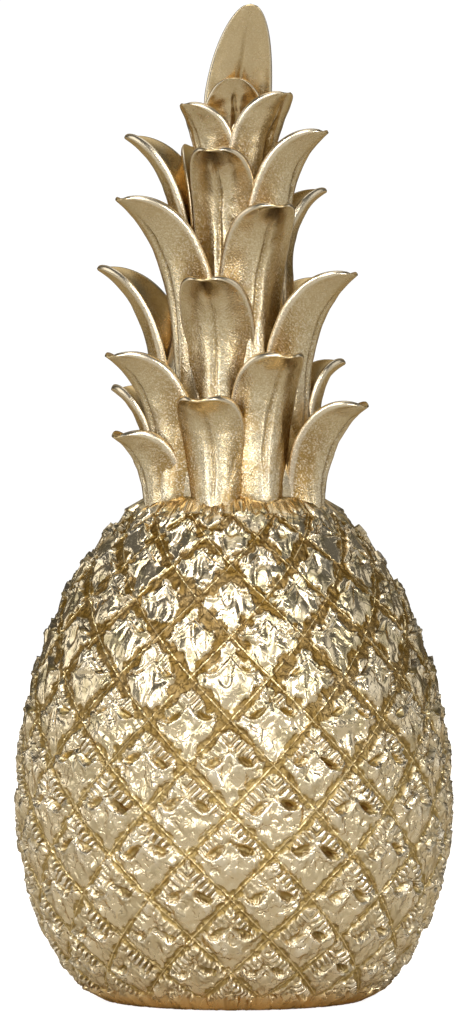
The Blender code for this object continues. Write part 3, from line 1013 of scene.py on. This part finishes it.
def leaf_relief(start, across, share, outer):
    """How deep a place of the outer face is carved, and its painted shade in creases and veins."""
    leaf = named(start, "leaf")
    parts = {0: across * SPOT_WIDTH, 1: share * SPOT_LENGTH, 2: leaf * LEAF_STEP}
    spot = start.node("ShaderNodeCombineXYZ", None, parts)
    waver = spot.noise(WAVER_SCALE, 1.0) - 0.5
    crease = (across + waver * CREASE_WAVER).peak(0.0, CREASE_WIDTH)
    crease = crease * share.ramp(*CREASE_START) * (1.0 - share.ramp(*CREASE_END))
    spread = across / (VEIN_ROOT_SPREAD + share * VEIN_SPREAD) + waver * VEIN_WAVER
    vein = ((spread * VEIN_COUNT).math("COSINE") - VEIN_LEVEL).most(0.0) * (1.0 - share.ramp(*VEIN_END))
    dents = (spot.noise(DENT_SCALE, 2.0) - 0.5) * DENT_DEPTH + waver * WAVER_DEPTH
    margin = abs(across).ramp(*MARGIN_START) - abs(across).ramp(*MARGIN_END)
    carved = crease * CREASE_MM * MM + vein * VEIN_MM * MM - margin * MARGIN_MM * MM
    carved = carved * outer + dents * outer * (1.0 - share.ramp(*SMOOTH_TIP))
    return carved, (crease + vein).held() * outer


# %% [markdown]
# The tree gives the middle line its body. A leaf widens up to its middle and narrows to its tip
# in a full curve. Its channel is deep at the root, where it is filled in from behind, and flattens
# out towards the tip. Only the two upright leaves on top are flatter, and narrow from lower down.

# %% The tree that makes the leaves
RIM_SHARE = 0.06
TIP_CROWDING = 0.5
NARROW_ROOT = 0.78
FLARE_END = 0.5
TAPER_POWER = 2.6
TAPER_FULLNESS = 0.5
FLATTEN_START = 0.30
FLATTEN_POWER = 1.7
FLATTEN_FULLNESS = 0.62
CHANNEL_DEPTH = 0.72
TOP_CHANNEL_DEPTH = 0.25
EDGE_THICKNESS = 1.8 * MM
TIP_THICKNESS = 2.2 * MM
TIP_ZONE = (0.6, 0.95)
RIB_THICKNESS = 2.4 * MM
SOLID_SHARE = 0.6
TIP_TAPER = 0.7
RIM_BULGE = 0.35 * MM
TOP_LEAF_SHADE_LIFT = 0.3


def leaf_tree():
    """The tree that makes a closed leaf for each point that it is given."""
    tree, given = new_tree("leaves", {"Around": "Int", "Along": "Int", "Finish": "Material"})
    start = Value(tree)
    points = start.node("GeometryNodeMeshToPoints", None, {"Mesh": given["Geometry"]})
    points = stored(points, "leaf", start.node("GeometryNodeInputIndex"))
    blades, round_share, up = lay_grids(points, given["Around"], given["Along"])

    # The place on the leaf: how far along, how far across, and through from outer to inner face
    share = up * (1.0 + TIP_CROWDING - TIP_CROWDING * up)
    half_face = 0.5 - RIM_SHARE
    swing = (round_share + RIM_SHARE / 2).math("PINGPONG", 0.5) * 4.0 - 1.0
    across = (swing / (1.0 - 2.0 * RIM_SHARE)).least(1.0).most(-1.0)
    one_rim = ((round_share - half_face) / RIM_SHARE).held()
    other_rim = ((round_share - half_face - 0.5) / RIM_SHARE).held()
    through = one_rim - other_rim

    radius, radius_slope, height, height_slope = middle_line(start, share)
    length = (radius_slope * radius_slope + height_slope * height_slope).math("SQRT")
    out, rise = height_slope / length, 0.0 - radius_slope / length

    # The blade's width and the depth of its channel, which both run out at the tip
    taper = named(start, "taper")
    is_side_leaf = taper.ramp(TOP_TAPER_START, TAPER_START)
    past = ((share - taper) / (1.0 - taper)).held()
    blade = (1.0 - past**TAPER_POWER).most(0.0) ** TAPER_FULLNESS
    flare = (share / FLARE_END).held().between(NARROW_ROOT, 1.0)
    past = ((share - FLATTEN_START) / (1.0 - FLATTEN_START)).held()
    hollow = (1.0 - past**FLATTEN_POWER).most(0.0) ** FLATTEN_FULLNESS
    ends_closed = up.present() * (1.0 - up).present()
    half = named(start, "width") * 0.5 * blade * flare * ends_closed
    depth_share = is_side_leaf.between(TOP_CHANNEL_DEPTH, CHANNEL_DEPTH)
    deep = named(start, "width") * 0.5 * depth_share * hollow * flare * ends_closed

    # The two faces: the outer one with its relief, the inner one a thickness behind it
    carved, sunk = leaf_relief(start, across, share, 1.0 - through)
    thin = blade**TIP_TAPER * ends_closed
    rib = deep * (1.0 - share / SOLID_SHARE).most(0.0) + RIB_THICKNESS
    rim_thick = share.ramp(*TIP_ZONE).between(EDGE_THICKNESS, TIP_THICKNESS)
    thick = rim_thick + (rib - EDGE_THICKNESS) * (1.0 - abs(across))
    depth = deep * across * across + carved * thin + thick * through * thin
    radius, height = radius - out * depth, height - rise * depth
    bulge = through * (1.0 - through) * 4.0 * RIM_BULGE * thin
    aside = (half + bulge) * across + named(start, "sway") * share * share

    turn = named(start, "azimuth")
    sine, cosine = turn.math("SINE"), turn.math("COSINE")
    parts = {0: radius * sine + aside * cosine, 1: aside * sine - radius * cosine, 2: height}
    blades = stored(blades, "across", across)
    # The two top leaves store a longer share, so that they get the tips' painted shade
    blades = stored(blades, "share", share + (1.0 - is_side_leaf) * TOP_LEAF_SHADE_LIFT)
    blades = stored(blades, "inner", through)
    blades = stored(blades, "sunk", sunk)
    end_tree(tree, blades, start.node("ShaderNodeCombineXYZ", None, parts), given["Finish"])
    return tree


# %% [markdown]
# The leaves are satin, not glossy. They were brushed on the slant, and the bare metal powder in the paint
# sparkles. Their rims and the middle of their lower halves get painted highlights. Their inner faces,
# creases and lower sides get painted shade in brown. The curled tips, the smoothest part, are painted
# darker as shade, and so are the two top leaves.

# %% The leaves' golds
LEAF_GOLD = colour(0.67, 0.55, 0.335)
TIP_SHADE_GOLD = colour(0.58, 0.455, 0.26)
HIGHLIGHT_AND_GRAIN_GOLD = colour(0.93, 0.86, 0.72)
INNER_SHADE_GOLD = colour(0.55, 0.40, 0.19)
CREASE_SHADE_AND_GRAIN_BROWN = colour(0.30, 0.20, 0.07)
LOWER_SHADE_BROWN = colour(0.36, 0.22, 0.06)
print("leaves in", len((LEAF_GOLD, TIP_SHADE_GOLD, HIGHLIGHT_AND_GRAIN_GOLD, INNER_SHADE_GOLD)), "golds and two browns")

# %% [markdown]
# The amounts are named as for the fruit. A pair called WIDTH is a ramp from the leaf's middle to
# its rim, and one called LENGTH is a ramp from its root to its tip. Scratches are noise that is
# squeezed across the slant, so each patch of it becomes a fine line.

# %% Paint the leaves
BLADE_WIDTH = 20.0 * MM
BLADE_LENGTH = 62.0 * MM
PATCH_SCALE, FLECK_SCALE = 120.0, 2000.0
SCRATCHES_ACROSS, SCRATCHES_ALONG = 2600.0, 190.0
INNER_STEP = 9.0
TIP_PLACES, TIP_SPECKLE_LOSS, INNER_SPECKLE_LOSS = (0.55, 0.95), 0.75, 0.4
UNEVEN_EDGE = 0.7
MIDDLE_WIDTH, MIDDLE_LENGTH, MIDDLE_HIGHLIGHT_SHARE = (0.1, 0.5), (0.25, 0.65), 0.25
SIDE_WIDTH, SIDE_LENGTH, SIDE_SHADE_SHARE = (0.30, 0.80), (0.45, 0.85), 0.9
BROWN_PATCHES, BROWN_LENGTH, BROWN_SHADE_SHARE = (0.50, 0.68), (0.35, 0.7), 0.5
SCRATCH_RANGE, LIGHT_SCRATCHES, DARK_SCRATCHES = (0.52, 0.75), 0.35, 0.3
FLECK_RANGE, LIGHT_FLECKS, DARK_FLECKS = (0.02, 0.16), 0.5, 0.4
INNER_SHADE_SHARE, CREASE_SHADE_SHARE = 0.8, 0.8
RIM_RANGE, RIM_HIGHLIGHT_SHARE = (0.93, 0.985), 0.45
LEAF_SHINE, UNEVEN_LEAF_SHINE, RIM_SHINE = 0.26, 0.2, 0.06
BRUSH_DEPTH = 0.35


def leaf_finish():
    """The leaves' material."""
    material, start, shader = new_finish("leaf_gold")
    place = object_place(start)
    labels = ("across", "share", "inner", "sunk")
    across, share, inner, sunk = (read(start, label) for label in labels)
    uneven = place.noise(PATCH_SCALE, 3.0, 0.6) - 0.5
    fleck = place.noise(FLECK_SCALE, 1.0, 0.6)
    along, aside = share * BLADE_LENGTH, across * (BLADE_WIDTH / 2)
    brushed = {0: (along + aside) * SCRATCHES_ACROSS, 1: (along - aside) * SCRATCHES_ALONG}
    brushed[2] = inner * INNER_STEP
    scratches = start.node("ShaderNodeCombineXYZ", None, brushed).noise(1.0, 2.0, 0.6)
    shaded_smooth_tip = share.ramp(*TIP_PLACES)
    speckle = (1.0 - shaded_smooth_tip * TIP_SPECKLE_LOSS) * (1.0 - inner * INNER_SPECKLE_LOSS)

    # Painted shade darkens the curled tips, a painted highlight runs down the middle of the lower half, and
    # painted shade, brown, lies at its sides and in uneven patches
    paint = tint(shaded_smooth_tip + uneven * UNEVEN_EDGE, LEAF_GOLD, TIP_SHADE_GOLD)
    off_middle = abs(across) + uneven * UNEVEN_EDGE
    middle = (1.0 - off_middle.ramp(*MIDDLE_WIDTH)) * (1.0 - share.ramp(*MIDDLE_LENGTH))
    paint = tint(middle * MIDDLE_HIGHLIGHT_SHARE, paint, HIGHLIGHT_AND_GRAIN_GOLD)
    sides = off_middle.ramp(*SIDE_WIDTH) * (1.0 - share.ramp(*SIDE_LENGTH))
    paint = tint(sides * SIDE_SHADE_SHARE, paint, LOWER_SHADE_BROWN)
    patches = (uneven + 0.5).ramp(*BROWN_PATCHES) * (1.0 - share.ramp(*BROWN_LENGTH))
    paint = tint(patches * BROWN_SHADE_SHARE, paint, LOWER_SHADE_BROWN)

    # Light and dark scratches, painted shade on the inner faces and in the creases, flecks, and a painted
    # highlight on the rims
    paint = tint(scratches.ramp(*SCRATCH_RANGE) * speckle * LIGHT_SCRATCHES, paint, HIGHLIGHT_AND_GRAIN_GOLD)
    dark_scratches = (1.0 - scratches).ramp(*SCRATCH_RANGE) * speckle
    paint = tint(dark_scratches * DARK_SCRATCHES, paint, CREASE_SHADE_AND_GRAIN_BROWN)
    paint = tint(inner * INNER_SHADE_SHARE, paint, INNER_SHADE_GOLD)
    paint = tint(sunk * CREASE_SHADE_SHARE, paint, CREASE_SHADE_AND_GRAIN_BROWN)
    paint = tint((fleck - 0.5).ramp(*FLECK_RANGE) * speckle * LIGHT_FLECKS, paint, HIGHLIGHT_AND_GRAIN_GOLD)
    paint = tint((0.5 - fleck).ramp(*FLECK_RANGE) * speckle * DARK_FLECKS, paint, CREASE_SHADE_AND_GRAIN_BROWN)
    rim = abs(across).ramp(*RIM_RANGE)
    paint = tint(rim * RIM_HIGHLIGHT_SHARE, paint, HIGHLIGHT_AND_GRAIN_GOLD)

    shine = uneven * UNEVEN_LEAF_SHINE - rim * RIM_SHINE + LEAF_SHINE
    crinkle = fleck * speckle * BRUSH_DEPTH + scratches * BRUSH_DEPTH * speckle
    feed(shader, Base_Color=paint, Roughness=shine, Normal=bumped(crinkle, BUMP_DEPTH))
    shader.inputs["Metallic"].default_value = 1.0
    shader.inputs["Specular Tint"].default_value = EDGE_BROWN
    return material


leaf_gold = leaf_finish()
print(leaf_gold.name, len(leaf_gold.node_tree.nodes), "nodes")

# %% [markdown]
# All leaves are poured as one piece, since nothing parts them in the casting. Their number of
# faces is set here: enough around for the rims to look round, and enough along for the curl.

# %% Pour the leaves
AROUND = 64
ALONG = 46

leaf_sizes = {"Around": AROUND, "Along": ALONG, "Finish": leaf_gold}
leaves = pour("crown_leaves", leaf_points(), leaf_tree(), leaf_sizes)
left_open = close_slice(leaves)
print(leaves.name, count_triangles(leaves), "triangles,", left_open, "open edges")

# %% [markdown]
# The stem shows only in the gaps between the leaves. It is turned from the same profile as in
# the solid, with the Screw modifier, which is then applied.

# %% Turn the stem
STEM_PROFILE = (
    (276.0, 0.0),
    (274.0, 3.0),
    (262.0, 7.0),
    (246.0, 10.0),
    (228.0, 13.8),
    (203.0, 18.8),
    (180.0, 22.6),
    (158.0, 26.0),
    (140.0, 27.0),
    (140.0, 0.0),
)
STEM_SIDES = 64
STEM_MERGE = 0.01 * MM


def turn_stem():
    """The stem's profile, turned round the upright axis."""
    profile = bpy.data.meshes.new("stem_profile")
    points = [(radius * MM, 0.0, height * MM) for height, radius in STEM_PROFILE]
    profile.from_pydata(points, [(i, i + 1) for i in range(len(points) - 1)], [])
    blank = bpy.data.objects.new("stem_blank", profile)
    bpy.context.scene.collection.objects.link(blank)
    screw = blank.modifiers.new("turn", "SCREW")
    screw.steps = STEM_SIDES
    screw.render_steps = STEM_SIDES
    screw.use_merge_vertices = True
    screw.merge_threshold = STEM_MERGE
    graph = bpy.context.evaluated_depsgraph_get()
    mesh = bpy.data.meshes.new_from_object(blank.evaluated_get(graph), depsgraph=graph)
    bpy.data.objects.remove(blank)
    mesh.materials.append(leaf_gold)
    piece = bpy.data.objects.new("crown_stem", mesh)
    bpy.context.scene.collection.objects.link(piece)
    return piece


stem = turn_stem()
print("stem open edges:", close_slice(stem))

# %% [markdown]
# The ornament stands on a pale floor in a white room. Gold shows nothing but what is around it, so
# the room matters more than the lamps. An even white room would make the metal look like cream
# paint. So the room that the gold sees is dim, with soft round windows: a wide weak one in front,
# two bright ones at the front corners, two higher up in front, one overhead, one at each side and a
# weak one high behind, which keeps the shoulder and the edges from going dark.
# Each is a direction, half an angle in degrees and a strength. Only the camera sees plain white
# behind the object. Two soft lamps at the front add the sparkle.

# %% The studio
ROOM_WHITE = 1.05
ROOM_DIM = 0.13
FLOOR_PAINT = (0.68, 0.645, 0.575, 1.0)
FLOOR_GLOW = 0.90
FLOOR_ROUGHNESS = 0.8
FLOOR_SIZE = 6.0
FLOOR_DROP = 0.2 * MM
WINDOW_CORE = 0.45
WINDOWS = (
    ((0.00, -1.00, 0.10), 65.0, 0.40),
    ((-0.66, -0.74, 0.16), 17.0, 4.50),
    ((0.70, -0.70, 0.18), 15.0, 4.40),
    ((0.00, -0.92, 0.40), 20.0, 2.10),
    ((-0.10, -0.75, 0.70), 18.0, 4.20),
    ((0.00, 0.10, 1.00), 34.0, 1.05),
    ((-1.00, 0.15, 0.15), 26.0, 1.45),
    ((1.00, 0.15, 0.25), 24.0, 0.80),
    ((0.00, 0.80, 0.60), 42.0, 0.45),
)
LIGHT_AIM = (0.0, 0.0, 0.13)
LIGHTS = (
    ("key", (-0.75, -1.20, 0.95), 0.16, 3.0),
    ("fill", (0.85, -1.05, 0.45), 0.14, 1.6),
)


def white_room():
    """A world that is white to the camera, and to the gold a dim room with large soft windows."""
    world = bpy.data.worlds.new("studio")
    world.use_nodes = True
    tree = world.node_tree
    tree.nodes.clear()
    start = Value(tree)
    direction = start.node("ShaderNodeTexCoord")
    light = ROOM_DIM
    for axis, half_angle, strength in WINDOWS:
        aim = Vector(axis).normalized()
        facing = start.node("ShaderNodeVectorMath", {"operation": "DOT_PRODUCT"}, {0: direction, 1: aim}, 1)
        edge, core = (math.cos(math.radians(angle)) for angle in (half_angle, half_angle * WINDOW_CORE))
        light = facing.ramp(edge, core) * strength + light
    seen = start.node("ShaderNodeLightPath")
    sockets = {"Color": colour(1.0, 1.0, 1.0), "Strength": light + seen * (ROOM_WHITE - light)}
    background = start.node("ShaderNodeBackground", None, sockets)
    result = tree.nodes.new("ShaderNodeOutputWorld")
    tree.links.new(background.socket, result.inputs["Surface"])
    return world


def pale_floor():
    """A pale floor, plain white to the camera but for the soft shadow under the foot."""
    bpy.ops.mesh.primitive_plane_add(size=FLOOR_SIZE, location=(0.0, 0.0, -FLOOR_DROP))
    floor = bpy.context.object
    floor.name = "floor"
    material, start, shader = new_finish("pale_floor")
    shader.inputs["Base Color"].default_value = FLOOR_PAINT
    shader.inputs["Roughness"].default_value = FLOOR_ROUGHNESS
    shader.inputs["Emission Strength"].default_value = 1.0
    feed(shader, Emission_Color=start.node("ShaderNodeLightPath") * FLOOR_GLOW)
    floor.data.materials.append(material)
    return floor


def soft_light(name, place, size, power):
    """A square lamp that looks at the ornament."""
    light = bpy.data.lights.new(name, "AREA")
    light.size = size
    light.energy = power
    holder = bpy.data.objects.new(name, light)
    holder.location = place
    holder.rotation_euler = (Vector(LIGHT_AIM) - Vector(place)).to_track_quat("-Z", "Y").to_euler()
    bpy.context.scene.collection.objects.link(holder)


bpy.context.scene.world = white_room()
bpy.context.scene.view_settings.view_transform = "Standard"
pale_floor()
for light in LIGHTS:
    soft_light(*light)
print(len(WINDOWS), "windows and", len(LIGHTS), "lamps")

# %% [markdown]
# The photograph looks level at the ornament from about a metre and a half, through a long lens.

# %% The camera
SENSOR_HEIGHT = 36.0
PHOTO_HEIGHT_PIXELS = 1024.0
FOCAL_PIXELS = 4954.0
MIDDLE_SHIFT_PIXELS = 0.5
CAMERA_PLACE = (0.0, -1.5, 0.147)
LEVEL_VIEW = math.radians(90.0)

camera_data = bpy.data.cameras.new("camera")
camera_data.sensor_fit = "VERTICAL"
camera_data.sensor_height = SENSOR_HEIGHT
camera_data.lens = SENSOR_HEIGHT * FOCAL_PIXELS / PHOTO_HEIGHT_PIXELS
camera_data.shift_x = MIDDLE_SHIFT_PIXELS / PHOTO_HEIGHT_PIXELS
camera = bpy.data.objects.new("camera", camera_data)
camera.location = CAMERA_PLACE
camera.rotation_euler = (LEVEL_VIEW, 0.0, 0.0)
bpy.context.scene.collection.objects.link(camera)
bpy.context.scene.camera = camera
print("camera stands", round(-camera.location.y, 2), "m away")

# %% [markdown]
# Nothing moves, so every piece rides on the one body. Together the pieces are the one casting, and all of
# them are painted in the same gold.

# %% Hand over the pieces
pieces = fruit_bands + [leaves, stem]
for piece in pieces:
    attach(piece, "root")
    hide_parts("pineapple")
